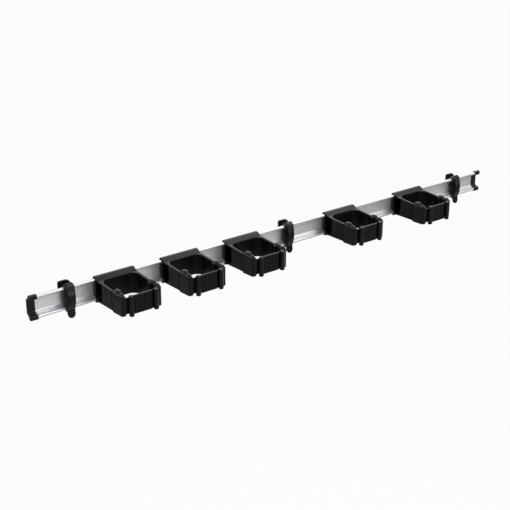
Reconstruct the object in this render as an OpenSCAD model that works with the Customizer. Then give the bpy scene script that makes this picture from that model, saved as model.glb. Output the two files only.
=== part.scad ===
// Wall rack for mops and brooms: an aluminium rail held by clip brackets, with tool holders that slide on it.
// X runs along the rail and Z is up. The wall is the plane Y = 0, and the rack stands in front of it at minus Y.
// A depth named "out" is measured from the wall towards the room, and heights are measured from the rail's middle.

/* [Rail] */
// Length of the bare rail
rail_len = 936; // [900:1:1300]
// Height of the rail over both lips
rail_h = 36; // [34:0.5:42]
// Depth from the rail's back to the front of its lips
rail_depth = 11; // [10:0.5:14]
// Wall thickness of the rail
rail_t = 2; // [1.5:0.1:2.5]
// Height of the flat web between its two bends
web_h = 19.2; // [17:0.1:21]
// Diameter of the round lips
lip_d = 5; // [4:0.1:6]

/* [End caps] */
// Length of a cap along the rail
cap_len = 12; // [8:0.5:18]
// Thickness of a cap's closed end
cap_end_t = 2.8; // [1:0.1:4]
// Wall of a cap round the lips
cap_lip_t = 1.1; // [0.8:0.1:2.5]
// Wall of a cap round the web and the flanges
cap_web_t = 1; // [0.6:0.1:1.5]

/* [Wall plates] */
// Thickness of a wall plate, which sets the rail off the wall
plate_t = 3.5; // [3:0.1:6]
// Width of a wall plate
plate_w = 21; // [18:0.5:26]
// Height of the ear above the rail
ear_h = 6; // [5:0.5:9]
// Radius of the ear's left corner
ear_left_r = 3; // [1:0.5:5]
// Radius of the ear's right corner
ear_right_r = 9; // [3:0.5:10]
// Drop of the wall plate below the rail
plate_drop = 2.5; // [1:0.5:5]
// Thickness of the bridge over the top lip
bridge_t = 1.4; // [1:0.1:2.5]
// Width of the bridge over the top lip
bridge_w = 15; // [10:0.5:18]
// Diameter of the hole for a wall screw
screw_d = 4.5; // [3.5:0.1:6]
// Diameter of the countersink at the plate's front
sink_d = 8.6; // [7:0.1:11]
// Depth of the countersink
sink_depth = 2; // [1:0.1:2.5]

/* [Release leaves] */
// Greatest width of a leaf
leaf_w = 18; // [16:0.2:20]
// Height of a leaf's body
leaf_h = 43; // [40:0.5:46]
// Height of a leaf's middle above the rail's middle
leaf_rise = 2; // [0:0.5:3]
// Radius of a leaf's side edges, seen from the front
leaf_side_r = 90; // [70:1:140]
// Distance that a leaf's ridge stands out from the lips
leaf_out = 9.7; // [8:0.1:12]
// Width of a leaf's blunt ridge
ridge_w = 11.4; // [5:0.2:14]
// Radius of a leaf's ridge, seen from the side
leaf_curve_r = 38; // [30:1:60]
// Width of a leaf's block in the channel
leaf_block_w = 15.6; // [12:0.2:20]
// Width of the pull tongue
tongue_w = 12.4; // [8:0.2:14]
// Reach of the pull tongue below the rail
tongue_drop = 11.4; // [8:0.2:16]
// Thickness of the pull tongue
tongue_t = 3; // [2:0.1:4]
// Distance that the pull tongue stands in front of a leaf's back
tongue_set = 1.5; // [0.5:0.1:2.5]
// Thickness of the catch under the bottom lip
catch_t = 1.7; // [1:0.1:3]

/* [Holder yokes] */
// Width of a holder across its arms
holder_w = 68; // [60:0.5:76]
// Thickness of an arm
arm_t = 4.5; // [3.6:0.1:6]
// Length of the arms from the yoke's back to the strap
arm_len = 45.2; // [40:0.2:60]
// Height of the yoke at its back
yoke_h = 33.2; // [30:0.2:35]
// Distance of the yoke's middle below the rail's middle
yoke_drop = 0.6; // [0:0.1:1]
// Fall of the arms' top edge towards the strap
arm_fall = 2.5; // [0:0.1:4]
// Rise of the arms' bottom edge towards the strap
arm_rise = 0.6; // [0:0.1:2]
// Thickness of the yoke's back wall
back_t = 6.2; // [5:0.1:9]
// Radius of the bay's back corners
bay_r = 12.5; // [6:0.5:14]
// Thickness of the hook over the top lip
hook_t = 2; // [1.6:0.1:3]
// Radius of the hook's back corner
hook_corner_r = 1.5; // [0.5:0.1:2]
// Thickness of the heel under the bottom lip
heel_t = 2.2; // [1:0.1:3]
// Reach of the block into the channel, behind the lips' centre line
block_reach = 3; // [1:0.1:4]
// Room between the block and the rail
block_gap = 1; // [0.5:0.1:2]
// Length of the pocket at an arm's root, from the yoke's back
pocket_len = 17.2; // [8:0.2:18]
// Height of the pocket at an arm's root
pocket_h = 25; // [18:0.5:27]
// Wall between a pocket and the bay
pocket_wall = 2.2; // [1.5:0.1:3]
// Thickness of the arm's tip inside the strap
tip_t = 2.4; // [1.6:0.1:3]
// Length of the arm's tip inside the strap
tip_len = 18; // [12:0.5:22]
// Step from the arm's edges to the edges of its tip
tip_step = 2; // [1:0.1:4]

/* [Straps] */
// Length of a strap sleeve along its arm
sleeve_len = 29.5; // [27:0.1:36]
// Distance that a sleeve stands proud of the arm's outer face
sleeve_proud = 0.6; // [0.3:0.1:1.5]
// Distance that a sleeve stands proud of the arm's edges
sleeve_lap = 2; // [1:0.1:3]
// Thickness of the strap inside the arm
lining_t = 2.6; // [1.5:0.1:4]
// Inward taper of a sleeve's outer face
sleeve_taper = 1; // [0:0.1:2.5]
// Radius of a sleeve's front corner
sleeve_corner_r = 6.2; // [1:0.1:6.4]
// Fall of a sleeve's top edge towards the front
sleeve_fall = 2; // [0:0.1:4]
// Radius of the round post in a sleeve's back end
post_r = 5.5; // [4:0.1:6]
// Height of the post above the sleeve
post_rise = 2.8; // [1:0.1:4]
// Distance from the sleeve's back end to the post's centre line
post_set = 6.8; // [6:0.1:9]
// Radius of the low round knob in front of the post
knob_r = 3.4; // [2:0.1:3.5]
// Height of the knob above the sleeve
knob_rise = 2.2; // [0.5:0.1:3]
// Distance from the sleeve's back end to the knob's middle
knob_set = 20; // [14:0.1:22]
// Thickness of the grip panel
grip_t = 3; // [2:0.1:4]
// Height of the grip panel
grip_h = 29; // [24:0.2:31]
// Height of the grip panel's middle above the rail's middle
grip_rise = -1.7; // [-2:0.1:1]
// Radius of the beads
bead_r = 5.5; // [4:0.1:6]
// Height of the beads
bead_h = 32.4; // [26:0.2:36]
// Height of the beads' middle above the rail's middle
bead_rise = -1.5; // [-2:0.1:1]
// Depth of a bead behind the grip panel's front
bead_root = 5.8; // [1:0.1:6]
// Chamfer at the ends of the beads
bead_chamfer = 1.8; // [0.5:0.1:2.5]
// Number of ribs on the grip panel
rib_count = 7; // [3:1:9]
// Radius of the ribs
rib_r = 0.8; // [0.4:0.1:1.2]
// Distance between ribs
rib_pitch = 4.2; // [3:0.1:4.4]

/* [Clearances] */
// Running gap between the rail and what moves on it, and beside each moving piece
slide_gap = 0.3; // [0.2:0.05:0.5]
// Gap between a piece and the fixed piece that it fits
seat_gap = 0.05; // [0.02:0.01:0.1]

/* [Hidden] */
$fn = 64;
// One overrun for every cut
cut_over = 1;
// Places of the brackets and of the holders along half the rail
bracket_shares = [-0.873, 0, 0.86];
holder_shares = [-0.707, -0.459, -0.205, 0.246, 0.596];
bracket_names = ["left", "middle", "right"];

// Rail
half_rail = rail_len / 2;
lip_r = lip_d / 2;
rail_top = rail_h / 2;
lip_z = rail_top - lip_r;
lip_out = plate_t + rail_depth - lip_r;
lip_front = lip_out + lip_r;
bend_z = web_h / 2;
bend_out = plate_t + rail_t / 2;
flange_slope = (lip_z - bend_z) / (lip_out - bend_out);
flange_stretch = sqrt(1 + flange_slope * flange_slope);
flange_half = rail_t / 2 * flange_stretch;
function flange_z(out) = bend_z + flange_slope * (out - bend_out);

// Brackets
ear_top = rail_top + ear_h;
plate_low = -rail_top - plate_drop;
foot_out = lip_out - lip_r - slide_gap;
bridge_z = rail_top + slide_gap;
flex_out = lip_out - lip_r + slide_gap;
leaf_back = lip_front + slide_gap;
leaf_front = lip_front + leaf_out;
tongue_out = leaf_back + tongue_set;
tongue_low = -rail_top - tongue_drop;
catch_z = -rail_top - slide_gap;

// Holders
half_w = holder_w / 2;
half_bay = half_w - arm_t;
yoke_back = lip_front + slide_gap;
bay_out = yoke_back + back_t;
strap_out = yoke_back + arm_len;
yoke_top = yoke_h / 2 - yoke_drop;
yoke_low = -yoke_h / 2 - yoke_drop;
tip_top = yoke_top - arm_fall;
tip_low = yoke_low + arm_rise;
block_out = lip_out - block_reach;
block_back_z = flange_z(block_out) - flange_half - block_gap;
block_front_z = lip_z - lip_r - block_gap;
hook_r = lip_r + slide_gap;
hook_back = lip_out - hook_r - hook_t;
hook_top = lip_z + hook_r + hook_t;
back_middle = yoke_back + back_t / 2;

// Straps
sleeve_in = half_bay - lining_t;
sleeve_back_x = half_w + sleeve_proud;
sleeve_tip_x = sleeve_back_x - sleeve_taper;
sleeve_front = strap_out + sleeve_len;
sleeve_round = min(sleeve_corner_r, sleeve_tip_x - sleeve_in);
sleeve_corner_x = sleeve_tip_x - sleeve_round;
sleeve_corner_out = sleeve_front - sleeve_round;
sleeve_top = tip_top + sleeve_lap;
sleeve_low = tip_low - sleeve_lap;
post_x = half_w - post_r;
post_out = strap_out + post_set;
knob_x = (sleeve_in + sleeve_tip_x) / 2;
knob_z = sleeve_top - sleeve_fall * knob_set / sleeve_len + knob_rise - knob_r;
grip_half = sleeve_in - slide_gap;
grip_front = sleeve_front - rib_r + slide_gap;
bead_x = grip_half - bead_r;
bead_out = grip_front - bead_root + bead_r;

// Extrudes an outline drawn as (out, height) along the rail, centred on X = 0
module along_rail(length) rotate([90, 0, -90]) linear_extrude(length, center = true) children();

// Extrudes an outline drawn as (across, height) towards the room, from a depth
module towards_room(out, depth) translate([0, -out, 0]) rotate([90, 0, 0]) linear_extrude(depth) children();

// Extrudes an outline drawn as (across, out) upwards, from a height
module upwards(low, height) translate([0, 0, low]) mirror([0, 1, 0]) linear_extrude(height) children();

// Rectangle standing on the baseline with two round top corners
module round_topped(width, height, left_r, right_r) {
    square_r = max(left_r, right_r);
    translate([-width / 2, 0]) square([width, height - square_r]);
    translate([left_r - width / 2, 0]) square([width - left_r - right_r, height]);
    translate([-width / 2, 0]) square([left_r, height - left_r]);
    translate([width / 2 - right_r, 0]) square([right_r, height - right_r]);
    translate([left_r - width / 2, height - left_r]) circle(left_r);
    translate([width / 2 - right_r, height - right_r]) circle(right_r);
}

// Length of the rail's channel with its lips, their walls thickened on every side
module rail_bar(length, lip_extra, wall_extra) {
    half_wall = rail_t / 2 + wall_extra;
    half_rise = half_wall * flange_stretch;
    web_in = bend_out + half_wall;
    web_out = bend_out - half_wall;
    upper_half = [
        [web_out, flange_z(web_out) + half_rise],
        [lip_out, lip_z + half_rise],
        [lip_out, lip_z - half_rise],
        [web_in, flange_z(web_in) - half_rise]
    ];
    lower_half = [for (n = [3:-1:0]) [upper_half[n][0], -upper_half[n][1]]];
    union() {
        along_rail(length) polygon(concat(upper_half, lower_half));
        for (side = [-1, 1])
            along_rail(length) translate([lip_out, side * lip_z]) circle(lip_r + lip_extra);
    }
}

module rail() color("silver") rail_bar(rail_len, 0, 0);

// Cap on the right-hand end: a sleeve round the rail with a closed end
module end_cap() color("#1c1c1e") difference() {
    translate([half_rail + cap_end_t - cap_len / 2, 0, 0]) rail_bar(cap_len, cap_lip_t, cap_web_t);
    translate([half_rail - cap_len, 0, 0]) rail_bar(2 * cap_len, seat_gap, seat_gap);
}

// Wall plate with its ear, the bridge over the top lip, the foot under the bottom flange and a screw hole
module wall_plate() color("#232325") {
    under_flange = flange_half + seat_gap;
    difference() {
        translate([0, 0, plate_low])
            towards_room(0, plate_t) round_topped(plate_w, ear_top - plate_low, ear_left_r, ear_right_r);
        towards_room(-cut_over, plate_t + 2 * cut_over) circle(d = screw_d);
        translate([0, -plate_t + sink_depth, 0])
            rotate([90, 0, 0]) cylinder(h = sink_depth, d1 = screw_d, d2 = sink_d);
    }
    along_rail(bridge_w) translate([plate_t, bridge_z]) square([flex_out - plate_t, bridge_t]);
    along_rail(plate_w) polygon([
        [plate_t, plate_low],
        [foot_out, -rail_top],
        [foot_out, -flange_z(foot_out) - under_flange],
        [bend_out, -bend_z - under_flange],
        [plate_t, -bend_z - under_flange]
    ]);
}

// Side outline of a block in the rail's channel, from behind the lips to a depth in front of them
module channel_block(front_out) polygon([
    [block_out, -block_back_z],
    [block_out, block_back_z],
    [yoke_back, block_front_z],
    [front_out, block_front_z],
    [front_out, -block_front_z],
    [yoke_back, -block_front_z]
]);

// Front leaf: a strap from the flex line, a block in the channel, a ridged body, a catch and a pull tongue
module release_leaf() color("#1e1e20") {
    strap_start = flex_out + slide_gap;
    leaf_low = leaf_rise - leaf_h / 2;
    along_rail(bridge_w) translate([strap_start, bridge_z])
        square([tongue_out + tongue_t - strap_start, bridge_t]);
    along_rail(leaf_block_w) channel_block(leaf_back + slide_gap);
    intersection() {
        along_rail(leaf_w) difference() {
            translate([leaf_front - leaf_curve_r, leaf_rise]) circle(leaf_curve_r, $fn = 128);
            translate([leaf_back - 2 * leaf_curve_r, leaf_rise - leaf_curve_r])
                square(2 * leaf_curve_r);
        }
        translate([0, 0, leaf_rise]) towards_room(0, leaf_front) intersection_for(side = [-1, 1])
            translate([side * (leaf_side_r - leaf_w / 2), 0]) circle(leaf_side_r, $fn = 128);
        upwards(leaf_low, leaf_h) polygon([
            [-leaf_w / 2, leaf_back],
            [leaf_w / 2, leaf_back],
            [ridge_w / 2, leaf_front],
            [-ridge_w / 2, leaf_front]
        ]);
    }
    towards_room(tongue_out, tongue_t) {
        translate([0, tongue_low + tongue_w / 2]) circle(d = tongue_w);
        translate([-tongue_w / 2, tongue_low + tongue_w / 2])
            square([tongue_w, -lip_z - tongue_low - tongue_w / 2]);
    }
    along_rail(tongue_w) translate([lip_out, catch_z - catch_t])
        square([tongue_out + tongue_t - lip_out, catch_t]);
}

// Side outline of the yoke's back wall with its hooks round both lips and its block in the channel
module yoke_back_section() {
    difference() {
        union() {
            translate([hook_back + hook_corner_r, hook_top - hook_corner_r]) circle(hook_corner_r);
            translate([lip_out, -lip_z]) circle(hook_r + heel_t);
            polygon([
                [hook_back, lip_z],
                [hook_back, hook_top - hook_corner_r],
                [hook_back + hook_corner_r, hook_top],
                [lip_out, hook_top],
                [bay_out, yoke_top],
                [bay_out, yoke_low],
                [lip_out, -lip_z - hook_r - heel_t]
            ]);
        }
        for (side = [-1, 1]) translate([lip_out, side * lip_z]) circle(hook_r);
        translate([hook_back - hook_t, -lip_z]) square([yoke_back - hook_back + hook_t, 2 * lip_z]);
        translate([lip_out - 2 * hook_r - heel_t, -lip_z - 2 * hook_r - heel_t])
            square([2 * hook_r + heel_t - lip_r / 2, 2 * hook_r + heel_t]);
    }
    channel_block(back_middle);
}

// Plan of the bay between the arms, open towards the strap, with a wall added round it
module bay_plan(wall) {
    for (side = [-1, 1]) translate([side * (half_bay - bay_r), bay_out + bay_r]) circle(bay_r + wall);
    translate([bay_r - half_bay, bay_out - wall]) square([2 * (half_bay - bay_r), arm_len]);
    translate([-half_bay - wall, bay_out + bay_r]) square([2 * (half_bay + wall), arm_len]);
}

// Plan of the two pockets behind the bay's round corners, in front of the block in the channel
module pocket_plan() difference() {
    translate([-holder_w, yoke_back]) square([2 * holder_w, pocket_len]);
    translate([bay_r - half_bay, yoke_back]) square([2 * (half_bay - bay_r), pocket_len]);
    bay_plan(pocket_wall);
}

// Stiff frame of a holder
module yoke() color("#262628") {
    difference() {
        along_rail(holder_w) {
            yoke_back_section();
            polygon([
                [yoke_back, yoke_top],
                [bay_out, yoke_top],
                [strap_out, tip_top],
                [strap_out, tip_low],
                [bay_out, yoke_low],
                [yoke_back, yoke_low]
            ]);
        }
        upwards(-yoke_h, 2 * yoke_h) bay_plan(0);
        upwards(-pocket_h / 2, pocket_h) pocket_plan();
    }
    for (side = [-1, 1]) translate([side * (half_bay + tip_t / 2), 0, 0])
        along_rail(tip_t) translate([strap_out - back_t, tip_low + tip_step])
            square([back_t + tip_len, tip_top - tip_low - 2 * tip_step]);
}

// Rubber strap end on the right-hand arm, with its round post, its low knob and the socket for the arm's tip
module strap_sleeve() color("#161617") {
    fit = 2 * seat_gap;
    difference() {
        union() {
            intersection() {
                upwards(sleeve_low, sleeve_top - sleeve_low) {
                    polygon([
                        [sleeve_in, strap_out],
                        [sleeve_back_x, strap_out],
                        [sleeve_tip_x, sleeve_corner_out],
                        [sleeve_corner_x, sleeve_front],
                        [sleeve_in, sleeve_front]
                    ]);
                    translate([sleeve_corner_x, sleeve_corner_out]) intersection() {
                        circle(sleeve_round);
                        square(sleeve_round);
                    }
                }
                along_rail(2 * sleeve_back_x) polygon([
                    [strap_out, sleeve_low],
                    [strap_out, sleeve_top],
                    [sleeve_front, sleeve_top - sleeve_fall],
                    [sleeve_front, sleeve_low]
                ]);
            }
            translate([post_x, -post_out, sleeve_low])
                cylinder(h = sleeve_top + post_rise - post_r - sleeve_low, r = post_r);
            translate([post_x, -post_out, sleeve_top + post_rise - post_r]) sphere(post_r);
            translate([knob_x, -strap_out - knob_set, knob_z]) sphere(knob_r);
        }
        translate([half_bay + tip_t / 2, 0, 0]) along_rail(tip_t + fit)
            translate([strap_out - cut_over, tip_low + tip_step - seat_gap])
                square([cut_over + tip_len + seat_gap, tip_top - tip_low - 2 * tip_step + fit]);
    }
}

// Ribbed front of the strap with a round bead at each side
module grip_panel() color("#1a1a1b") {
    upwards(grip_rise - grip_h / 2, grip_h) {
        translate([-grip_half, grip_front - grip_t]) square([2 * grip_half, grip_t]);
        for (n = [0:rib_count - 1])
            translate([(n - (rib_count - 1) / 2) * rib_pitch, grip_front]) circle(rib_r);
    }
    for (side = [-1, 1]) translate([side * bead_x, -bead_out, bead_rise]) {
        cylinder(h = bead_h - 2 * bead_chamfer, r = bead_r, center = true);
        for (end = [0, 1]) mirror([0, 0, end]) translate([0, 0, bead_h / 2 - bead_chamfer])
            cylinder(h = bead_chamfer, r1 = bead_r, r2 = bead_r - bead_chamfer);
    }
}

rail();
end_cap();  // right_end_cap
mirror([1, 0, 0]) end_cap();  // left_end_cap
for (n = [0:len(bracket_names) - 1]) translate([half_rail * bracket_shares[n], 0, 0]) {
    wall_plate();
    release_leaf();
}
for (n = [1:len(holder_shares)]) translate([half_rail * holder_shares[n - 1], 0, 0]) {
    yoke();
    mirror([1, 0, 0]) strap_sleeve();
    strap_sleeve();
    grip_panel();
}
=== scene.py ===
"""Looks of a wall rack for mops and brooms: an aluminium rail, clip brackets and holders with rubber straps.

Shapes are worked out in millimetres as (across, out, up): across runs along the rail, out from the wall
towards the room, and up from the rail's middle. Only new_piece turns them into the frame's metres, with
Y = -out.
"""
import math

import bmesh
import bpy
import numpy as np
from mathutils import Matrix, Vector


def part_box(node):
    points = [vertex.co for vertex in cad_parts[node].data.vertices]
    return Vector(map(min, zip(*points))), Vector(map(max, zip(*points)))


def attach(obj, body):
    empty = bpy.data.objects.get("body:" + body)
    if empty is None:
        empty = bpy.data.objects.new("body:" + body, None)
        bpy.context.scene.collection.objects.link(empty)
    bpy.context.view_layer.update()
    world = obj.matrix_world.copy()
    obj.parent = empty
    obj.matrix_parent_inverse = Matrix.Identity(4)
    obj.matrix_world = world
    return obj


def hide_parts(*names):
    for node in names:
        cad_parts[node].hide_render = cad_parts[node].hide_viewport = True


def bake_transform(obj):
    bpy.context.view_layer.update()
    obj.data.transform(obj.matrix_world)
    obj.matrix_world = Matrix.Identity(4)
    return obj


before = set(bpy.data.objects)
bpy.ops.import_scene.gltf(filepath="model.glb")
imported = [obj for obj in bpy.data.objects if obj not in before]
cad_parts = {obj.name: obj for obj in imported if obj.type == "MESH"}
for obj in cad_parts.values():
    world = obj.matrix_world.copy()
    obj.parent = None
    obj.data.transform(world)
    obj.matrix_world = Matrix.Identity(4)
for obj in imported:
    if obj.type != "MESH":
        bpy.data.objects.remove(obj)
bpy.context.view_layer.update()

# The camera that took the photograph, found by lining up the rail and the holders
IMAGE = 510
FOCAL_PX = 1101
CAMERA_AT = (-1.0946, -1.3091, 0.6435)
AZIMUTH, ELEVATION = -38.38, 21.83
SENSOR_MM = 36

MM = 0.001


def extents(node):
    """Lowest and highest (across, out, up) of a CAD node, in millimetres."""
    low, high = (np.array(corner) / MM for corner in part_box(node))
    return np.array([low[0], -high[1], low[2]]), np.array([high[0], -low[1], high[2]])


def middle_across(node):
    """Where the middle of a CAD node lies along the rail, in millimetres."""
    low, high = extents(node)
    return (low[0] + high[0]) / 2


# Rail
RAIL_LOW, RAIL_HIGH = extents("rail")
RAIL_HALF = RAIL_HIGH[0]
RAIL_WALL = 2.0
RAIL_BEND_R = 2.2
LIP_R = 2.5
LIP_CORNER_R = LIP_R - 0.02
LIP_OUT = RAIL_HIGH[1] - LIP_R
LIP_UP = RAIL_HIGH[2] - LIP_R
WEB_OUT = RAIL_LOW[1] + RAIL_WALL / 2
BEND_UP = 9.6
FLANGE_SLOPE = (LIP_UP - BEND_UP) / (LIP_OUT - WEB_OUT)
FIT = 0.05

# End caps
CAP_LENGTH = 12.0
CAP_WALL = 1.1

# Block in the rail's channel, on leaves and holders
BLOCK_OUT = LIP_OUT - 3
BLOCK_BACK_UP = 10.9
BLOCK_UP = LIP_UP - LIP_R - 1

# Wall plates and release leaves
PLATE_LOW, PLATE_HIGH = extents("middle_wall_plate")
LEAF_LOW, LEAF_HIGH = extents("middle_release_leaf")
SLIDE_GAP = 0.3
BRIDGE_WIDTH = 15.0
BRIDGE_WALL = 1.4
BRIDGE_UP = RAIL_HIGH[2] + SLIDE_GAP
LEAF_BACK = RAIL_HIGH[1] + SLIDE_GAP
LEAF_WIDTH = 18.0
LEAF_RIDGE = 11.4
LEAF_HEIGHT = 43.0
LEAF_RISE = 2.0
LEAF_CURVE_R = 38.0
LEAF_SIDE_R = 90.0
LEAF_BLOCK = 15.6
TONGUE_WIDTH = 12.4
TONGUE_OUT = LEAF_BACK + 1.5
TONGUE_WALL = 3.0
TONGUE_TOP = -LIP_UP + 3
TONGUE_FLARE = 1.8

# Holders
YOKE_LOW, YOKE_HIGH = extents("holder_1_yoke")
HOLDER_HALF = (YOKE_HIGH[0] - YOKE_LOW[0]) / 2
HOLDER_AT = np.array([middle_across("holder_1_yoke"), 0, 0])
SLEEVE_LOW, SLEEVE_HIGH = extents("holder_1_right_sleeve") - HOLDER_AT
GRIP_LOW, GRIP_HIGH = extents("holder_1_grip_panel") - HOLDER_AT
ARM_WALL = 4.5
BAY_HALF = HOLDER_HALF - ARM_WALL
YOKE_BACK = LEAF_BACK
BAY_OUT = YOKE_BACK + 6.2
BAY_R = 12.5
STRAP_OUT = SLEEVE_LOW[1]
ARM_TOP, ARM_BOTTOM = 16.0, -17.2
ARM_FALL, ARM_CLIMB = 2.5, 0.6
POCKET_FRONT = YOKE_BACK + 17.2
POCKET_HALF = 12.5
POCKET_WALL = 2.2
SLEEVE_IN = BAY_HALF - 2.6
SLEEVE_TOP = ARM_TOP - ARM_FALL + 2.0
SLEEVE_LENGTH = SLEEVE_HIGH[1] - STRAP_OUT
SLEEVE_FRONT = SLEEVE_HIGH[1] - 2.0
SLEEVE_FALL, SLEEVE_CLIMB = 2.0, 2.2
PANEL_WALL = 3.0
PANEL_FRONT = SLEEVE_HIGH[1] - 0.5
PANEL_BACK = PANEL_FRONT - PANEL_WALL
PANEL_LOW, PANEL_TOP = -16.2, 12.8
BEAD_R = 3.9
BEAD_ACROSS = 20.8
BEAD_OUT = GRIP_HIGH[1] - BEAD_R
RIB_PITCH = 4.2
RIB_COUNT = 7
RIB_RISE = 0.8
RIB_GROOVE = 0.9


# Shape tools

def smooth_step(low, high, value):
    """Rises smoothly from 0 at low to 1 at high: 3t squared minus 2t cubed."""
    t = np.clip((value - low) / (high - low), 0, 1)
    return t * t * (3 - 2 * t)


def window(low, high, soft, value):
    """1 between low and high, 0 outside, with soft flanks."""
    return smooth_step(low - soft, low + soft, value) * (1 - smooth_step(high - soft, high + soft, value))


def rounded_outline(corners, radii, steps=6, run_shares=()):
    """Points and outward normals of a closed outline whose corners are arcs.

    Corners run counter-clockwise. An arc's centre lies at its radius from both edges: the corner moved by
    the sum of the two edge normals over one plus their dot product. The normal turns evenly from the one
    edge's to the other's, and the arc is its centre plus radius times that normal, or minus it at an inner
    corner. Each straight run gets points at run_shares of its length. Leading axes are separate outlines.
    """
    corners = np.asarray(corners, float)
    radii = np.broadcast_to(np.asarray(radii, float), corners.shape[:-1])
    edges = np.roll(corners, -1, -2) - corners
    edges = edges / np.linalg.norm(edges, axis=-1, keepdims=True)
    after = np.stack([edges[..., 1], -edges[..., 0]], -1)
    before = np.roll(after, 1, -2)
    dot = (before * after).sum(-1)
    turn = np.arctan2(before[..., 0] * after[..., 1] - before[..., 1] * after[..., 0], dot)
    start = np.arctan2(before[..., 1], before[..., 0])
    angle = start[..., None] + turn[..., None] * np.linspace(0, 1, steps)
    arc_normals = np.stack([np.cos(angle), np.sin(angle)], -1)
    pull = np.sign(turn) * radii
    centres = corners - pull[..., None] * (before + after) / (1 + dot)[..., None]
    arcs = centres[..., None, :] + pull[..., None, None] * arc_normals
    share = np.asarray(run_shares, float)[:, None]
    ends, starts = arcs[..., -1:, :], np.roll(arcs, -1, -3)[..., :1, :]
    runs = ends + (starts - ends) * share
    run_normals = np.broadcast_to(after[..., None, :], runs.shape)
    points = np.concatenate([arcs, runs], -2)
    normals = np.concatenate([arc_normals, run_normals], -2)
    shape = (*corners.shape[:-2], -1, 2)
    return points.reshape(shape), normals.reshape(shape)


def section_corners(*corners):
    """Corners of one outline for each ring, from pairs of values or of arrays with a value for each ring."""
    return np.stack([np.stack(np.broadcast_arrays(*corner), -1) for corner in corners], 1)


def rounded_prism(outline, low, high, edge_r, steps=5):
    """Rings of an outline carried from low to high, with a quarter round of edge_r at both ends.

    At angle a of the round the outline is drawn in by edge_r (1 - sin a) and set back by edge_r (1 - cos a).
    low and high may differ from point to point. Returns the rings' plane points and their heights.
    """
    points, normals = outline
    angle = np.linspace(0, np.pi / 2, steps)[:, None]
    inset = edge_r * (1 - np.sin(angle))
    setback = edge_r * (1 - np.cos(angle))
    heights = np.concatenate([low + setback + 0 * points[:, 0], high - setback[::-1] + 0 * points[:, 0]])
    insets = np.concatenate([inset, inset[::-1]])
    return points - insets[..., None] * normals, heights


def upwards(plane, height):
    """An (across, out) outline carried upwards."""
    return np.stack([plane[..., 0], plane[..., 1], height], -1)


def along_rail(plane, across):
    """An (out, up) outline carried along the rail."""
    return np.stack([across, plane[..., 0], plane[..., 1]], -1)


def towards_room(plane, out):
    """An (across, up) outline carried towards the room."""
    return np.stack([plane[..., 0], out, plane[..., 1]], -1)


def skin(rings, ring_of_rings=False):
    """Points and faces of a skin over closed rings: quads between neighbours, and a flat face on both ends.

    With ring_of_rings the last ring joins the first instead, as on a plate with a hole.
    """
    count, around = rings.shape[:2]
    index = np.arange(count * around).reshape(count, around)
    following = np.roll(index, -1, 0)
    if not ring_of_rings:
        index, following = index[:-1], following[:-1]
    quads = np.stack([index, np.roll(index, -1, 1), np.roll(following, -1, 1), following], -1)
    faces = quads.reshape(-1, 4).tolist()
    if not ring_of_rings:
        faces += [index[0].tolist(), following[-1].tolist()]
    return rings.reshape(-1, 3), faces


def turned(centre, radii, heights, stretch=1.0, around=40):
    """Skin of a turned shape: rings of the given radii at the given heights, stretched along out."""
    angle = np.linspace(0, 2 * np.pi, around, endpoint=False)
    across = centre[0] + radii[:, None] * np.cos(angle)
    out = centre[1] + radii[:, None] * stretch * np.sin(angle)
    return skin(np.stack([across, out, heights[:, None] + 0 * across], -1))


def post(centre, radius, low, top, edge_r, steps):
    """Skin of an upright round post with a quarter round of edge_r at both ends, as in rounded_prism."""
    angle = np.linspace(0, np.pi / 2, steps)
    radii = radius - edge_r * (1 - np.sin(angle))
    setback = edge_r * (1 - np.cos(angle))
    heights = np.concatenate([low + setback, top - setback[::-1]])
    return turned(centre, np.concatenate([radii, radii[::-1]]), heights)


def dome(centre, radius, base, rise, stretch):
    """Skin of a blunt dome: radius times cos a to the power 0.7, at base plus rise times sin a."""
    angle = np.linspace(0, 0.97 * np.pi / 2, 12)
    return turned(centre, radius * np.cos(angle) ** 0.7, base + rise * np.sin(angle), stretch)


def moved(shell, across):
    """The same shell further along the rail."""
    points, faces = shell
    return points + np.array([across, 0, 0]), faces


def mirrored(shell):
    """The shell mirrored from right to left; its faces are turned outwards again in new_piece."""
    points, faces = shell
    return points * np.array([-1, 1, 1]), faces


def new_piece(name, shells, material):
    """One mesh object from shells, in the frame's metres, with doubles merged and faces turned outwards."""
    starts = np.cumsum([0] + [len(points) for points, _ in shells])
    points = np.concatenate([points for points, _ in shells]) * np.array([1, -1, 1]) * MM
    faces = [[corner + start for corner in face]
             for (_, shell_faces), start in zip(shells, starts) for face in shell_faces]
    mesh = bpy.data.meshes.new(name)
    mesh.from_pydata(points.tolist(), [], faces)
    work = bmesh.new()
    work.from_mesh(mesh)
    bmesh.ops.remove_doubles(work, verts=work.verts, dist=2e-6)
    bmesh.ops.recalc_face_normals(work, faces=work.faces)
    work.to_mesh(mesh)
    work.free()
    mesh.polygons.foreach_set("use_smooth", np.ones(len(mesh.polygons), bool))
    mesh.materials.append(material)
    piece = bpy.data.objects.new(name, mesh)
    bpy.context.scene.collection.objects.link(piece)
    return piece


def settle(piece, body, *nodes):
    """Rides a piece on its body in place of its CAD nodes.

    Weighted normals shade flat faces flat up to their round edges.
    """
    shading = piece.modifiers.new("flat_faces", "WEIGHTED_NORMAL")
    shading.weight = 100
    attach(piece, body)
    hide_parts(*nodes)


# Materials

def linear(hex_colour):
    """sRGB hex to a linear RGBA."""
    srgb = np.array([int(hex_colour[i:i + 2], 16) for i in (1, 3, 5)]) / 255
    rgb = np.where(srgb <= 0.04045, srgb / 12.92, ((srgb + 0.055) / 1.055) ** 2.4)
    return (*rgb, 1.0)


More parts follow.
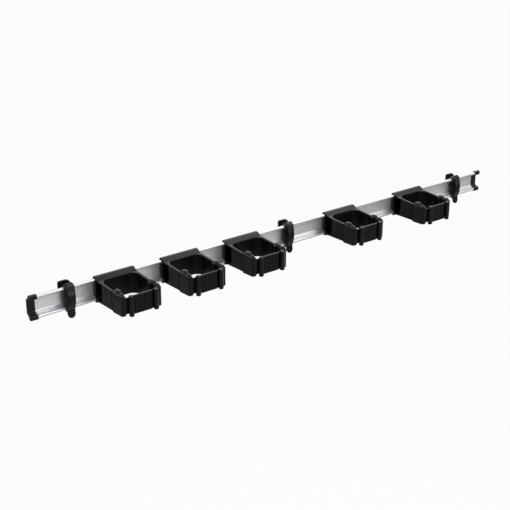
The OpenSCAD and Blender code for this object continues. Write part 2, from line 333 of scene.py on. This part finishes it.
def add_node(tree, kind, inputs=None, **settings):
    """A new node of a kind, with its settings, and its inputs set to values or linked to sockets."""
    node = tree.nodes.new(kind)
    for key, value in settings.items():
        setattr(node, key, value)
    for key, value in (inputs or {}).items():
        if isinstance(value, bpy.types.NodeSocket):
            tree.links.new(value, node.inputs[key])
        else:
            node.inputs[key].default_value = value
    return node


def new_material(name):
    """An empty node material: its tree, shader and object coordinates."""
    material = bpy.data.materials.new(name)
    material.use_nodes = True
    tree = material.node_tree
    place = add_node(tree, "ShaderNodeTexCoord").outputs["Object"]
    return material, tree, tree.nodes["Principled BSDF"], place


def drawn_aluminium():
    """Satin anodised aluminium, drawn through a die: pale grey metal with faint streaks along the rail.

    The etched oxide layer scatters part of the light, so the metal shares its surface with a matt white.
    """
    material, tree, shader, place = new_material("satin_anodised_aluminium")
    # Die lines are about 0.1 mm wide; they are drawn 1.6 mm wide and 90 mm long here so that they show
    line_long, line_wide = 90 * MM, 1.6 * MM
    stretched = add_node(tree, "ShaderNodeMapping", {
        "Vector": place, "Scale": (1 / line_long, 1 / line_wide, 1 / line_wide)})
    streak = add_node(tree, "ShaderNodeTexNoise", {
        "Vector": stretched.outputs["Vector"], "Scale": 1.0, "Detail": 3.0, "Roughness": 0.6}).outputs["Fac"]
    tint = add_node(tree, "ShaderNodeMix", {
        "Factor": streak, "A": linear("#c9cacc"), "B": linear("#d4d5d7")}, data_type="RGBA")
    rough = add_node(tree, "ShaderNodeMapRange", {
        "Value": streak, "From Min": 0.3, "From Max": 0.7, "To Min": 0.4, "To Max": 0.5})
    bump = add_node(tree, "ShaderNodeBump", {"Height": streak, "Strength": 0.12, "Distance": 0.05 * MM})
    shader.inputs["Metallic"].default_value = 0.7
    tree.links.new(tint.outputs["Result"], shader.inputs["Base Color"])
    tree.links.new(rough.outputs["Result"], shader.inputs["Roughness"])
    tree.links.new(bump.outputs["Normal"], shader.inputs["Normal"])
    return material


def moulded_black(name, dark, pale, grain_mm, rough_low, rough_high, gloss, bump_mm):
    """A black moulding: a fine grain from its mould breaks up the gloss.

    Handling leaves broad paler clouds, about 24 mm across.
    """
    material, tree, shader, place = new_material(name)
    cloud_wide = 24 * MM
    grain = add_node(tree, "ShaderNodeTexNoise", {
        "Vector": place, "Scale": 1 / (grain_mm * MM), "Detail": 2.0}).outputs["Fac"]
    cloud = add_node(tree, "ShaderNodeTexNoise", {
        "Vector": place, "Scale": 1 / cloud_wide, "Detail": 4.0, "Roughness": 0.6}).outputs["Fac"]
    tint = add_node(tree, "ShaderNodeMix", {
        "Factor": cloud, "A": linear(dark), "B": linear(pale)}, data_type="RGBA")
    rough = add_node(tree, "ShaderNodeMapRange", {
        "Value": grain, "From Min": 0.3, "From Max": 0.7, "To Min": rough_low, "To Max": rough_high})
    bump = add_node(tree, "ShaderNodeBump", {"Height": grain, "Strength": 0.35, "Distance": bump_mm * MM})
    shader.inputs["Specular IOR Level"].default_value = gloss
    tree.links.new(tint.outputs["Result"], shader.inputs["Base Color"])
    tree.links.new(rough.outputs["Result"], shader.inputs["Roughness"])
    tree.links.new(bump.outputs["Normal"], shader.inputs["Normal"])
    return material


aluminium = drawn_aluminium()
# Grains are 0.1 to 0.3 mm on such mouldings; they are drawn about three times as coarse so that they show
# Polyethylene has a soft, waxy sheen
cap_plastic = moulded_black("moulded_black_polyethylene", "#070708", "#0f0f10", 0.8, 0.26, 0.36, 0.22, 0.05)
# Acetal is slick, so its highlights are the sharpest and its grain the finest
clip_plastic = moulded_black("moulded_black_acetal", "#060607", "#0e0e0f", 0.6, 0.2, 0.28, 0.23, 0.03)
# Filled nylon is the dullest of them, with the coarsest grain
yoke_plastic = moulded_black("moulded_black_nylon", "#080808", "#101011", 0.9, 0.28, 0.38, 0.17, 0.05)
# Rubber from a polished mould is a little paler, with a broad, smooth shine
strap_rubber = moulded_black("moulded_black_rubber", "#0a0a0a", "#131314", 0.7, 0.22, 0.32, 0.24, 0.05)


# Rail and end caps

def channel_corners(grow):
    """Corners of the rail's section (out, up), with every face moved outwards by grow.

    The web is upright and the flanges slope to the lips. A lip is a square that its corner radius makes
    round. The upper corners are the crossings of those faces, and the lower ones mirror them.
    """
    half_wall = RAIL_WALL / 2 + grow
    half_lip = LIP_R + grow
    rise = half_wall * math.hypot(1, FLANGE_SLOPE)
    back, front = WEB_OUT - half_wall, WEB_OUT + half_wall
    lip_back, lip_front = LIP_OUT - half_lip, LIP_OUT + half_lip
    lip_low, lip_top = LIP_UP - half_lip, LIP_UP + half_lip
    upper = np.array([
        [front, BEND_UP + FLANGE_SLOPE * (front - WEB_OUT) - rise],
        [WEB_OUT + (lip_low + rise - BEND_UP) / FLANGE_SLOPE, lip_low],
        [lip_front, lip_low],
        [lip_front, lip_top],
        [lip_back, lip_top],
        [lip_back, BEND_UP + FLANGE_SLOPE * (lip_back - WEB_OUT) + rise],
        [back, BEND_UP + FLANGE_SLOPE * (back - WEB_OUT) + rise]])
    return np.concatenate([upper, upper[::-1] * np.array([1, -1])])


def channel_outline(grow, bend_r, lip_corner_r):
    """Outline of the rail's section with round bends and lips."""
    upper = [bend_r, bend_r / 2, lip_corner_r, lip_corner_r, lip_corner_r, bend_r / 2, bend_r]
    return rounded_outline(channel_corners(grow), upper + upper[::-1], steps=9)


def rail_shell():
    """The section carried along the rail."""
    outline = channel_outline(0, RAIL_BEND_R, LIP_CORNER_R)
    plane, across = rounded_prism(outline, -RAIL_HALF, RAIL_HALF, 0.2, steps=3)
    return skin(along_rail(plane, across))


def cap_shell():
    """Right-hand cap: from the bottom of its bore out to the mouth, round the rim and along the outside."""
    end = extents("right_end_cap")[1][0]
    mouth = end - CAP_LENGTH
    bore, _ = channel_outline(FIT, RAIL_BEND_R, LIP_CORNER_R)
    plane, across = rounded_prism(channel_outline(CAP_WALL, 1.2, 1.9), mouth, end, 0.6)
    bore_rings = np.stack([bore, bore])
    bore_across = np.array([[RAIL_HALF + FIT], [mouth]]) + 0 * bore[:, 0]
    return skin(along_rail(np.concatenate([bore_rings, plane]), np.concatenate([bore_across, across])))


rail = new_piece("drawn_rail", [rail_shell()], aluminium)
settle(rail, "rack", "rail")
right_cap = cap_shell()
for side, shell in (("right", right_cap), ("left", mirrored(right_cap))):
    settle(new_piece(f"{side}_cap_moulding", [shell], cap_plastic), "rack", f"{side}_end_cap")


# Wall brackets

def bar_along_rail(corners, radii, width, edge_r):
    """A section (out, up) carried along the rail over a width, centred, with round edges."""
    plane, across = rounded_prism(rounded_outline(corners, radii, steps=6), -width / 2, width / 2, edge_r)
    return skin(along_rail(plane, across))


def plate_shell():
    """Flat plate with its ear and a countersunk hole.

    The outline's points and the hole's points share their angles round the hole, so that rings run from the
    hole's back edge round the outside to the countersink and through the hole.
    """
    half = (PLATE_HIGH[0] - PLATE_LOW[0]) / 2
    low, top = PLATE_LOW[2], PLATE_HIGH[2]
    depth = RAIL_LOW[1]
    corners = [[-half, low], [half, low], [half, top], [-half, top]]
    foot_r, round_ear_r, ear_r = 1.5, 9, 3
    outline = rounded_outline(
        corners, [foot_r, foot_r, round_ear_r, ear_r], steps=12, run_shares=np.linspace(0.1, 0.9, 9))
    plane, out = rounded_prism(outline, 0, depth, 0.7)
    angle = np.arctan2(outline[0][:, 1], outline[0][:, 0])
    circle = np.stack([np.cos(angle), np.sin(angle)], -1)
    hole_r, sink_r, sink_depth = 2.25, 4.3, 2.0
    holes = np.array([sink_r, hole_r, hole_r])[:, None, None] * circle
    hole_out = np.array([[depth], [depth - sink_depth], [0]]) + 0 * angle
    rings = towards_room(np.concatenate([plane, holes]), np.concatenate([out, hole_out]))
    return skin(rings, ring_of_rings=True)


def plate_shells():
    """Plate, bridge over the top lip and foot under the bottom flange."""
    back, front = RAIL_LOW[1], RAIL_HIGH[1] - 2 * LIP_R - SLIDE_GAP
    under = RAIL_WALL / 2 * math.hypot(1, FLANGE_SLOPE) + FIT
    flange = -BEND_UP - FLANGE_SLOPE * (front - WEB_OUT) - under
    bridge_end = RAIL_HIGH[1] - 2 * LIP_R + SLIDE_GAP
    bridge = [[back - 1, BRIDGE_UP], [bridge_end, BRIDGE_UP],
              [bridge_end, BRIDGE_UP + BRIDGE_WALL], [back - 1, BRIDGE_UP + BRIDGE_WALL]]
    foot = [[back - 1, PLATE_LOW[2] + 1], [back, PLATE_LOW[2] + 0.6], [front, -RAIL_HIGH[2]],
            [front, flange], [WEB_OUT, -BEND_UP - under], [back - 1, -BEND_UP - under]]
    width = PLATE_HIGH[0] - PLATE_LOW[0]
    return [plate_shell(),
            bar_along_rail(bridge, 0.4, BRIDGE_WIDTH, 0.4),
            bar_along_rail(foot, [0.1, 0.1, 0.6, 0.6, 0.1, 0.1], width, 0.6)]


def leaf_body():
    """Ridged body of a leaf: level sections that narrow and thin towards both ends.

    At height z above its middle the half width is less by side_r - sqrt(side_r squared - z squared), and
    the ridge stands back by the same formula with the ridge's curve radius. A section is a round-cornered
    trapezium. The front rolls over at the top: it stands back by top_r (1 - sqrt(1 - t squared)), with t
    rising to 1 at the top. Both ends draw in by that formula with edge_r, up to a limit.
    """
    edge_r, edge_limit, top_r, rings = 1.6, 0.85, 2.3, 60
    up = LEAF_HEIGHT / 2 * np.sin(np.linspace(-np.pi / 2, np.pi / 2, rings))
    half = LEAF_WIDTH / 2 - LEAF_SIDE_R + np.sqrt(LEAF_SIDE_R ** 2 - up ** 2)
    front = LEAF_HIGH[1] - LEAF_CURVE_R + np.sqrt(LEAF_CURVE_R ** 2 - up ** 2)
    to_top = np.clip(1 - (LEAF_HEIGHT / 2 - up) / top_r, 0, 1)
    front = front - top_r * (1 - np.sqrt(1 - to_top ** 2))
    depth_share = (front - LEAF_BACK) / (LEAF_HIGH[1] - LEAF_BACK)
    ridge = LEAF_WIDTH / 2 + (LEAF_RIDGE - LEAF_WIDTH) / 2 * depth_share
    ridge = np.minimum(ridge, half - 0.6)
    corners = section_corners((half, LEAF_BACK), (ridge, front), (-ridge, front), (-half, LEAF_BACK))
    points, normals = rounded_outline(corners, [0.9, 1.9, 1.9, 0.9], steps=8)
    to_end = LEAF_HEIGHT / 2 - np.abs(up)
    lean = np.clip(1 - to_end / edge_r, 0, 1)
    inset = np.minimum(edge_r * (1 - np.sqrt(1 - lean ** 2)), edge_limit)
    points = points - inset[:, None, None] * normals
    return skin(upwards(points, (LEAF_RISE + up)[:, None] + 0 * points[..., 0]))


def leaf_shells():
    """Body, strap over the lip, block in the channel, catch under the bottom lip and pull tongue.

    The tongue flares towards the room by its flare times the squared share of the way down.
    """
    strap_start = RAIL_HIGH[1] - 2 * LIP_R + 2 * SLIDE_GAP
    strap_end = TONGUE_OUT + TONGUE_WALL
    strap = [[strap_start, BRIDGE_UP], [strap_end, BRIDGE_UP],
             [strap_end, BRIDGE_UP + BRIDGE_WALL], [strap_start, BRIDGE_UP + BRIDGE_WALL]]
    sunk = LEAF_BACK + 0.6
    block = [[BLOCK_OUT, -BLOCK_BACK_UP], [LEAF_BACK, -BLOCK_UP], [sunk, -BLOCK_UP],
             [sunk, BLOCK_UP], [LEAF_BACK, BLOCK_UP], [BLOCK_OUT, BLOCK_BACK_UP]]
    catch_top = -RAIL_HIGH[2] - SLIDE_GAP
    catch_low = catch_top - 1.7
    catch = [[LIP_OUT, catch_low], [strap_end, catch_low], [strap_end, catch_top], [LIP_OUT, catch_top]]
    half, low = TONGUE_WIDTH / 2, LEAF_LOW[2]
    tongue = [[-half, low], [half, low], [half, TONGUE_TOP], [-half, TONGUE_TOP]]
    tongue_outline = rounded_outline(tongue, [half - 0.05, half - 0.05, 1, 1], 16, np.linspace(0.1, 0.9, 7))
    plane, out = rounded_prism(tongue_outline, TONGUE_OUT, TONGUE_OUT + TONGUE_WALL, 0.9)
    out = out + TONGUE_FLARE * ((TONGUE_TOP - plane[..., 1]) / (TONGUE_TOP - low)) ** 2
    return [leaf_body(),
            bar_along_rail(strap, 0.4, BRIDGE_WIDTH, 0.4),
            bar_along_rail(block, [2.4, 0.5, 0.1, 0.1, 0.5, 1.6], LEAF_BLOCK, 1.0),
            bar_along_rail(catch, 0.5, TONGUE_WIDTH, 0.5),
            skin(towards_room(plane, out))]


plate_form = plate_shells()
leaf_form = leaf_shells()
for side in ("left", "middle", "right"):
    middle = middle_across(f"{side}_wall_plate")
    plate = new_piece(f"{side}_clip_plate", [moved(s, middle) for s in plate_form], clip_plastic)
    settle(plate, "rack", f"{side}_wall_plate")
    leaf = new_piece(f"{side}_clip_leaf", [moved(s, middle) for s in leaf_form], clip_plastic)
    settle(leaf, f"{side}_leaf", f"{side}_release_leaf")


# Holder yokes

def arm_heights(out):
    """Bottom and top of the arms at a depth: level at the back wall, closing evenly towards the strap."""
    share = np.clip((out - BAY_OUT) / (STRAP_OUT - BAY_OUT), 0, 1)
    return ARM_BOTTOM + ARM_CLIMB * share, ARM_TOP - ARM_FALL * share


def yoke_band():
    """The U of arms and back wall: an upright round-edged section carried along the U.

    On the arms, section ends lie straight across. Round a bay corner they lie on rays from the corner's
    centre: the inner end at the bay's radius, the outer end on a square with a tight corner, a p-norm of the
    ray. A pocket behind each corner leaves only a wall round the bay there: the section's outer end is drawn
    in to that wall, times a window in height and a smooth step that ends the pocket along the arm.
    """
    corner = np.array([BAY_HALF - BAY_R, BAY_OUT + BAY_R])
    tight, soft = 26, 0.35
    flank = POCKET_FRONT + soft * np.array([-1, -0.5, 0, 0.5, 1])
    ray = np.concatenate([
        np.linspace(0, np.pi / 2, 40), np.arctan2(corner[1] - flank, HOLDER_HALF - corner[0]),
        np.arctan2(corner[1] - YOKE_BACK, HOLDER_HALF - corner[0]) + np.linspace(-0.08, 0.08, 9)])
    ray = np.sort(ray)
    unit = np.stack([np.cos(ray), -np.sin(ray)], -1)
    room = np.abs(unit) / np.array([HOLDER_HALF - corner[0], corner[1] - YOKE_BACK])
    outer_corner = corner + unit / ((room ** tight).sum(-1) ** (1 / tight))[:, None]
    inner_corner = corner + BAY_R * unit
    arm_out = np.linspace(STRAP_OUT, corner[1], 14)[:-1]
    outer = np.concatenate([np.stack([HOLDER_HALF + 0 * arm_out, arm_out], -1), outer_corner])
    inner = np.concatenate([np.stack([BAY_HALF + 0 * arm_out, arm_out], -1), inner_corner])
    flip = np.array([-1, 1])
    outer = np.concatenate([outer, outer[::-1] * flip])
    inner = np.concatenate([inner, inner[::-1] * flip])
    span = np.linalg.norm(outer - inner, axis=-1)
    low, top = arm_heights(outer[:, 1])
    low_in, top_in = arm_heights(inner[:, 1])
    corners = section_corners((0, low_in), (span, low), (span, top), (0, top_in))
    middle, tall = (low + top).mean() / 2, (top - low).max()
    edges = (np.array([-POCKET_HALF, POCKET_HALF])[:, None] + np.array([-soft, 0, soft])).ravel()
    shares = np.concatenate([0.5 + (edges - middle) / tall, [0.3, 0.5, 0.7]])
    section, _ = rounded_outline(corners, 0.8, steps=5, run_shares=np.sort(shares))
    along, up = section[..., 0], section[..., 1]
    share = along / span[:, None]
    outer_part = 0.6
    behind = 1 - smooth_step(POCKET_FRONT - soft, POCKET_FRONT + soft, outer[:, 1])
    drawn_in = (behind * (1 - POCKET_WALL / span))[:, None] * window(-POCKET_HALF, POCKET_HALF, soft, up)
    share = np.where(share > outer_part, share - drawn_in, share)
    plane = inner[:, None, :] + (outer - inner)[:, None, :] * share[..., None]
    return skin(upwards(plane, up))


def yoke_shells():
    """The U, the hook bar over the top lip, the heel bar under the bottom lip, the channel block and tips.

    A core bar joins the block to the back wall between the two pockets.
    """
    groove = LIP_R + SLIDE_GAP
    near, far = LIP_OUT - groove, LIP_OUT + groove
    roof = LIP_UP + groove
    hook_back, hook_top = YOKE_LOW[1], YOKE_HIGH[2]
    front = BAY_OUT - 0.4
    above_pocket = POCKET_HALF + 0.3
    hook = [[near, LIP_UP], [near, roof], [far, roof], [far, above_pocket], [front, above_pocket],
            [front, ARM_TOP + 0.15],
            [LIP_OUT + 0.6, hook_top], [hook_back, hook_top], [hook_back, LIP_UP]]
    hook_r = [0.5, groove - 0.1, groove - 0.1, 0.2, 0.2, 1.0, 3.0, 1.5, 0.6]
    heel_back = LIP_OUT - LIP_R / 2
    heel_low = YOKE_LOW[2]
    heel = [[heel_back, -roof], [heel_back, heel_low + 0.2], [LIP_OUT + 0.4, heel_low],
            [front, ARM_BOTTOM - 0.1], [front, -above_pocket], [far, -above_pocket], [far, -roof]]
    heel_r = [0.5, 0.8, 1.2, 0.5, 0.2, 0.2, groove - 0.1]
    block = [[BLOCK_OUT, -BLOCK_BACK_UP], [YOKE_BACK, -BLOCK_UP],
             [YOKE_BACK, BLOCK_UP], [BLOCK_OUT, BLOCK_BACK_UP]]
    core = [[YOKE_BACK - 1, -BLOCK_UP], [YOKE_BACK, -above_pocket], [front, -above_pocket],
            [front, above_pocket], [YOKE_BACK, above_pocket], [YOKE_BACK - 1, BLOCK_UP]]
    width, core_width = 2 * HOLDER_HALF, 2 * (BAY_HALF - BAY_R)
    tip_wall, tip_step, tip_root, tip_end = 2.4, 2.0, STRAP_OUT - 6, YOKE_HIGH[1]
    arm_low, arm_top = arm_heights(STRAP_OUT)
    tip_low, tip_top = arm_low + tip_step, arm_top - tip_step
    tip = [[tip_root, tip_low], [tip_end, tip_low], [tip_end, tip_top], [tip_root, tip_top]]
    tip_shell = moved(bar_along_rail(tip, 0.5, tip_wall, 0.4), BAY_HALF + tip_wall / 2)
    return [yoke_band(),
            bar_along_rail(hook, hook_r, width, 0.7),
            bar_along_rail(heel, heel_r, width, 0.7),
            bar_along_rail(block, [0.8, 0.4, 0.4, 0.8], width, 0.7),
            bar_along_rail(core, 0.1, core_width, 0.1),
            tip_shell, mirrored(tip_shell)]


# Rubber straps

def sleeve_shells():
    """Right-hand strap end: a round-edged sleeve, the column in its back end, its hump and the low knob.

    The sleeve's top falls evenly towards the front, and its bottom rises there by a smooth step. The hump and
    the knob are domes that are longer along the arm than across it.
    """
    tip = HOLDER_HALF - 0.4
    corners = [[SLEEVE_IN, STRAP_OUT], [SLEEVE_HIGH[0], STRAP_OUT], [tip, SLEEVE_FRONT],
               [SLEEVE_IN + 1.4, SLEEVE_FRONT], [SLEEVE_IN, SLEEVE_FRONT - 3.2]]
    outline = rounded_outline(corners, [2.0, 2.0, 5.0, 0.9, 1.5], steps=12)
    share = (outline[0][:, 1] - STRAP_OUT) / SLEEVE_LENGTH
    top = SLEEVE_TOP - SLEEVE_FALL * share
    low = SLEEVE_LOW[2] + SLEEVE_CLIMB * smooth_step(0.7, 1.05, share)
    plane, up = rounded_prism(outline, low, top, 1.9, steps=7)
    column_r, column_set = 5.5, 6.8
    column = post((HOLDER_HALF - column_r, STRAP_OUT + column_set), column_r,
                  SLEEVE_LOW[2] + 0.4, SLEEVE_TOP, edge_r=1.5, steps=7)
    hump_r, hump_set, hump_sunk = 5.0, 7.8, 1.6
    hump_base = SLEEVE_TOP - hump_sunk
    hump = dome((HOLDER_HALF - hump_r + 0.1, STRAP_OUT + hump_set), hump_r,
                hump_base, SLEEVE_HIGH[2] - hump_base, stretch=1.45)
    knob_r, knob_set, knob_rise, knob_sunk = 3.4, 20, 2.2, 1.4
    knob_base = SLEEVE_TOP - SLEEVE_FALL * knob_set / SLEEVE_LENGTH - knob_sunk
    knob = dome(((SLEEVE_IN + tip) / 2, STRAP_OUT + knob_set), knob_r,
                knob_base, knob_sunk + knob_rise, stretch=1.35)
    return [skin(upwards(plane, up)), column, hump, knob]


def grip_shells():
    """Ribbed panel carried along the rail, and its two beads.

    The panel's front is a row of blunt ribs: the groove's floor plus the ribs' height times a cosine wave to
    a power below 1. The panel ends inside the beads.
    """
    bluntness = 0.3
    ribbed = RIB_COUNT * RIB_PITCH / 2
    across = np.unique(np.concatenate([
        np.linspace(-BEAD_ACROSS, BEAD_ACROSS, 30), np.linspace(-ribbed, ribbed, RIB_COUNT * 16 + 1)]))
    wave = 0.5 + 0.5 * np.cos(2 * np.pi * across / RIB_PITCH)
    ribs = (RIB_RISE + RIB_GROOVE) * wave ** bluntness * (np.abs(across) <= ribbed)
    front = PANEL_FRONT - RIB_GROOVE + ribs
    back = PANEL_BACK + 0 * across
    corners = section_corners((back, PANEL_LOW), (front, PANEL_LOW), (front, PANEL_TOP), (back, PANEL_TOP))
    section, _ = rounded_outline(corners, 0.9, steps=6)
    panel = skin(along_rail(section, across[:, None] + 0 * section[..., 0]))
    bead = post((BEAD_ACROSS, BEAD_OUT), BEAD_R, GRIP_LOW[2], GRIP_HIGH[2], edge_r=1.7, steps=8)
    return [panel, bead, mirrored(bead)]


def web_shell():
    """Rubber in the deep groove between the right-hand bead and strap end.

    A round-cornered section, lower than the panel, is carried across from the one to the other.
    """
    lower = 1.8
    across = np.linspace(BEAD_ACROSS + 0.5, SLEEVE_IN + 1.2, 15)
    back, front, low, top = PANEL_BACK - 1, PANEL_FRONT - 2, PANEL_LOW + lower, PANEL_TOP - lower
    corners = [[back, low], [front, low], [front, top], [back, top]]
    section, _ = rounded_outline(corners, 0.8, steps=5, run_shares=np.linspace(0.1, 0.9, 9))
    rings = np.broadcast_to(section, (len(across), *section.shape))
    return skin(along_rail(rings, across[:, None] + 0 * rings[..., 0]))


yoke_form = yoke_shells()
right_sleeve_form = sleeve_shells()
grip_form = grip_shells()
right_web_form = web_shell()
for n in range(1, 6):
    middle = middle_across(f"holder_{n}_yoke")
    yoke = new_piece(f"holder_{n}_frame", [moved(s, middle) for s in yoke_form], yoke_plastic)
    settle(yoke, f"holder_{n}", f"holder_{n}_yoke")
    grip = new_piece(f"holder_{n}_ribbed_grip", [moved(s, middle) for s in grip_form], strap_rubber)
    settle(grip, f"holder_{n}_grip", f"holder_{n}_grip_panel")
    for side, sign in (("left", -1), ("right", 1)):
        sleeve_form, web_form = right_sleeve_form, right_web_form
        if side == "left":
            sleeve_form, web_form = [mirrored(s) for s in right_sleeve_form], mirrored(right_web_form)
        shells = [moved(s, middle) for s in sleeve_form]
        sleeve = new_piece(f"holder_{n}_{side}_strap_end", shells, strap_rubber)
        settle(sleeve, f"holder_{n}", f"holder_{n}_{side}_sleeve")
        web = new_piece(f"holder_{n}_{side}_web", [moved(web_form, middle)], strap_rubber)
        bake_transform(web)


# Stage, light and camera

RACK_MIDDLE = (0, -0.05, 0)
# Each lamp's name, place and size in metres, and power in watts
LAMPS = (
    ("key", (0.9, -1.2, 1.35), (1.0, 1.0), 18),
    ("over_right", (1.0, 0.3, 1.5), (1.0, 1.0), 7),
    ("back", (1.3, 1.6, 0.95), (1.6, 0.8), 5),
    ("left_back", (-1.6, 1.0, 0.5), (0.8, 0.8), 8),
    ("low_front", (-0.15, -2.25, -0.1), (1.6, 0.5), 13),
)


def white_for_the_eye(tree):
    """A factor: 1 for camera, glossy and transmission rays, and 0 for the rays that light the object."""
    path = add_node(tree, "ShaderNodeLightPath").outputs
    first = add_node(tree, "ShaderNodeMath", {
        0: path["Is Camera Ray"], 1: path["Is Glossy Ray"]}, operation="MAXIMUM")
    both = add_node(tree, "ShaderNodeMath", {
        0: first.outputs["Value"], 1: path["Is Transmission Ray"]}, operation="MAXIMUM")
    return both.outputs["Value"]


def studio_floor():
    """Pale floor far below the rack, as under a wall rack. Behind the rack it turns to a white backdrop.

    The white's share is a ramp that starts under the rack times a ramp from left to right, turned a little.
    """
    level, reach = -1.2, 14.0
    white_share, ramp_turn = 0.95, math.radians(25)
    grey_left, white_left = -1.6, -0.5
    grey_front, white_front = 0.0, 0.3
    corners = [[-reach, -reach, level], [reach, -reach, level], [reach, reach, level], [-reach, reach, level]]
    mesh = bpy.data.meshes.new("studio_floor")
    mesh.from_pydata(corners, [], [[0, 1, 2, 3]])
    material, tree, shader, place = new_material("pale_floor")
    shader.inputs["Base Color"].default_value = linear("#e6e6e6")
    shader.inputs["Roughness"].default_value = 0.9
    turned_place = add_node(tree, "ShaderNodeVectorRotate", {
        "Vector": place, "Angle": ramp_turn}, rotation_type="Z_AXIS").outputs["Vector"]
    along = add_node(tree, "ShaderNodeSeparateXYZ", {"Vector": turned_place}).outputs["X"]
    inside = add_node(tree, "ShaderNodeMapRange", {
        "Value": along, "From Min": grey_left, "From Max": white_left, "To Min": 0.0, "To Max": white_share})
    depth = add_node(tree, "ShaderNodeSeparateXYZ", {"Vector": place}).outputs["Y"]
    behind = add_node(tree, "ShaderNodeMapRange", {
        "Value": depth, "From Min": grey_front, "From Max": white_front,
        "To Min": 0.0, "To Max": inside.outputs["Result"]})
    share = add_node(tree, "ShaderNodeMath", {
        0: behind.outputs["Result"], 1: white_for_the_eye(tree)}, operation="MULTIPLY")
    glow = add_node(tree, "ShaderNodeEmission", {"Color": linear("#ffffff"), "Strength": 1.0})
    mixed = add_node(tree, "ShaderNodeMixShader", {
        "Fac": share.outputs["Value"], 1: shader.outputs["BSDF"], 2: glow.outputs["Emission"]})
    tree.links.new(mixed.outputs["Shader"], tree.nodes["Material Output"].inputs["Surface"])
    mesh.materials.append(material)
    floor = bpy.data.objects.new("studio_floor", mesh)
    bpy.context.scene.collection.objects.link(floor)


def studio_world():
    """White all round for the eye and for reflections, and a soft fill as a light."""
    fill = 0.36
    world = bpy.data.worlds.new("studio")
    bpy.context.scene.world = world
    world.use_nodes = True
    tree = world.node_tree
    strength = add_node(tree, "ShaderNodeMapRange", {
        "Value": white_for_the_eye(tree), "To Min": fill, "To Max": 1.0})
    background = tree.nodes["Background"]
    background.inputs["Color"].default_value = linear("#ffffff")
    tree.links.new(strength.outputs["Result"], background.inputs["Strength"])


def softbox(name, place, size, power):
    """A soft rectangular lamp at a place in metres, turned to the middle of the rack."""
    lamp = bpy.data.lights.new(name, "AREA")
    lamp.shape = "RECTANGLE"
    lamp.size, lamp.size_y = size
    lamp.energy = power
    holder = bpy.data.objects.new(name, lamp)
    holder.location = place
    holder.rotation_mode = "QUATERNION"
    holder.rotation_quaternion = (Vector(place) - Vector(RACK_MIDDLE)).to_track_quat("Z", "Y")
    holder.visible_camera = False
    bpy.context.scene.collection.objects.link(holder)


def photo_camera():
    """Camera at the photograph's place, looking along its azimuth and elevation."""
    camera = bpy.data.objects.new("camera", bpy.data.cameras.new("camera"))
    bpy.context.scene.collection.objects.link(camera)
    bpy.context.scene.camera = camera
    turn, tilt = math.radians(AZIMUTH), math.radians(ELEVATION)
    back = Vector((math.sin(turn) * math.cos(tilt), -math.cos(turn) * math.cos(tilt), math.sin(tilt)))
    camera.location = CAMERA_AT
    camera.rotation_mode = "QUATERNION"
    camera.rotation_quaternion = back.to_track_quat("Z", "Y")
    camera.data.sensor_width = SENSOR_MM
    camera.data.lens = SENSOR_MM * FOCAL_PX / IMAGE


studio_floor()
studio_world()
for lamp in LAMPS:
    softbox(*lamp)
photo_camera()
bpy.context.scene.view_settings.view_transform = "Standard"
